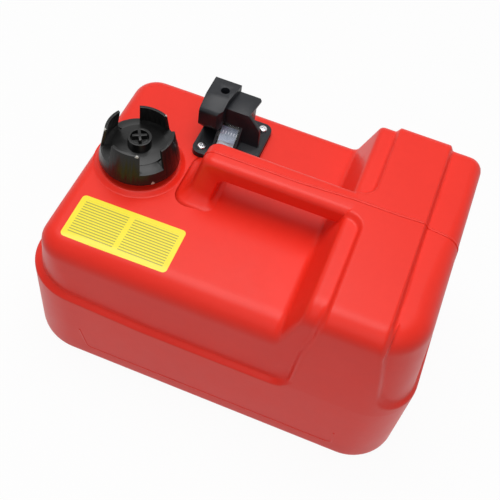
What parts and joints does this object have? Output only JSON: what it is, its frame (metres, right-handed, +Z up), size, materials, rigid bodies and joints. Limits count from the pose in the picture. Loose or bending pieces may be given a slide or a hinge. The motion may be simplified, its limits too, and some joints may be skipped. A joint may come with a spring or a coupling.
{
  "type": "outboard fuel tank",
  "caption": "Portable blow-moulded fuel tank with moulded-in handle, raised block, vented screw cap and a valved outlet fitting that carries a float gauge.",
  "frame": {"origin": "centre of the tank's footprint on the surface it stands on", "axes": "+X along the tank's length from the cap end to the raised block, +Y to the rear side that carries the outlet fitting, +Z up"},
  "size_m": [0.38, 0.246, 0.215],
  "materials": {
    "tank_plastic": "red moulded polyethylene, satin",
    "cap_plastic": "black moulded plastic, semi-gloss",
    "fitting_plastic": "black moulded plastic, satin",
    "rubber": "matte seal rubber",
    "screw_steel": "plated steel screws",
    "wire_steel": "stainless wire and pin",
    "brass": "turned brass",
    "clear_plastic": "clear moulded window",
    "drum_plastic": "white dial drum",
    "float_foam": "closed-cell fuel-proof foam",
    "tube_plastic": "fuel-proof nylon"
  },
  "bodies": {
    "tank": {"tank_shell": "tank_plastic", "outlet_body": "fitting_plastic", "flange_gasket": "rubber", "flange_screws": "screw_steel", "screw_inserts": "brass", "gauge_lens": "clear_plastic", "lens_gasket": "rubber", "drum_pin": "wire_steel", "pickup_tube": "tube_plastic", "pickup_strainer": "tube_plastic", "valve_spring": "wire_steel", "valve_seat": "rubber", "chamber_plug_disc": "fitting_plastic", "passage_plug": "brass"},
    "cap_seal": {"cap_gasket": "rubber"},
    "cap": {"cap_shell": "cap_plastic"},
    "vent_packing": {"vent_seal": "rubber"},
    "vent": {"vent_screw": "cap_plastic"},
    "float_gauge": {"gauge_drum": "drum_plastic", "float_arm": "wire_steel", "float": "float_foam", "float_washers": "wire_steel"},
    "valve": {"outlet_valve": "brass"}
  },
  "joints": [
    {"name": "cap_rise", "type": "slide", "parent": "tank", "child": "cap_seal", "axis": [0, 0, 1], "range_m": [0, 0.0161]},
    {"name": "cap_turn", "type": "hinge", "parent": "cap_seal", "child": "cap", "pos_m": [-0.1213, 0.003, 0.186], "axis": [0, 0, 1], "range_deg": [0, 720]},
    {"name": "vent_rise", "type": "slide", "parent": "cap", "child": "vent_packing", "axis": [0, 0, 1], "range_m": [0, 0.003]},
    {"name": "vent_turn", "type": "hinge", "parent": "vent_packing", "child": "vent", "pos_m": [-0.1213, 0.003, 0.195], "axis": [0, 0, 1], "range_deg": [0, 720]},
    {"name": "float_swing", "type": "hinge", "parent": "tank", "child": "float_gauge", "pos_m": [-0.055, 0.06, 0.165], "axis": [-1, 0, 0], "range_deg": [0, 67]},
    {"name": "valve_press", "type": "slide", "parent": "tank", "child": "valve", "axis": [0, 0, -1], "range_m": [0, 0.003], "stiffness_N_per_m": 300, "springref_m": -0.004, "deforming": ["valve_spring"]}
  ],
  "couplings": [
    {"joint": "cap_rise", "follows": "cap_turn", "m_per_rad": 0.0012732},
    {"joint": "vent_turn", "follows": "vent_rise", "rad_per_m": 4188.8}
  ]
}
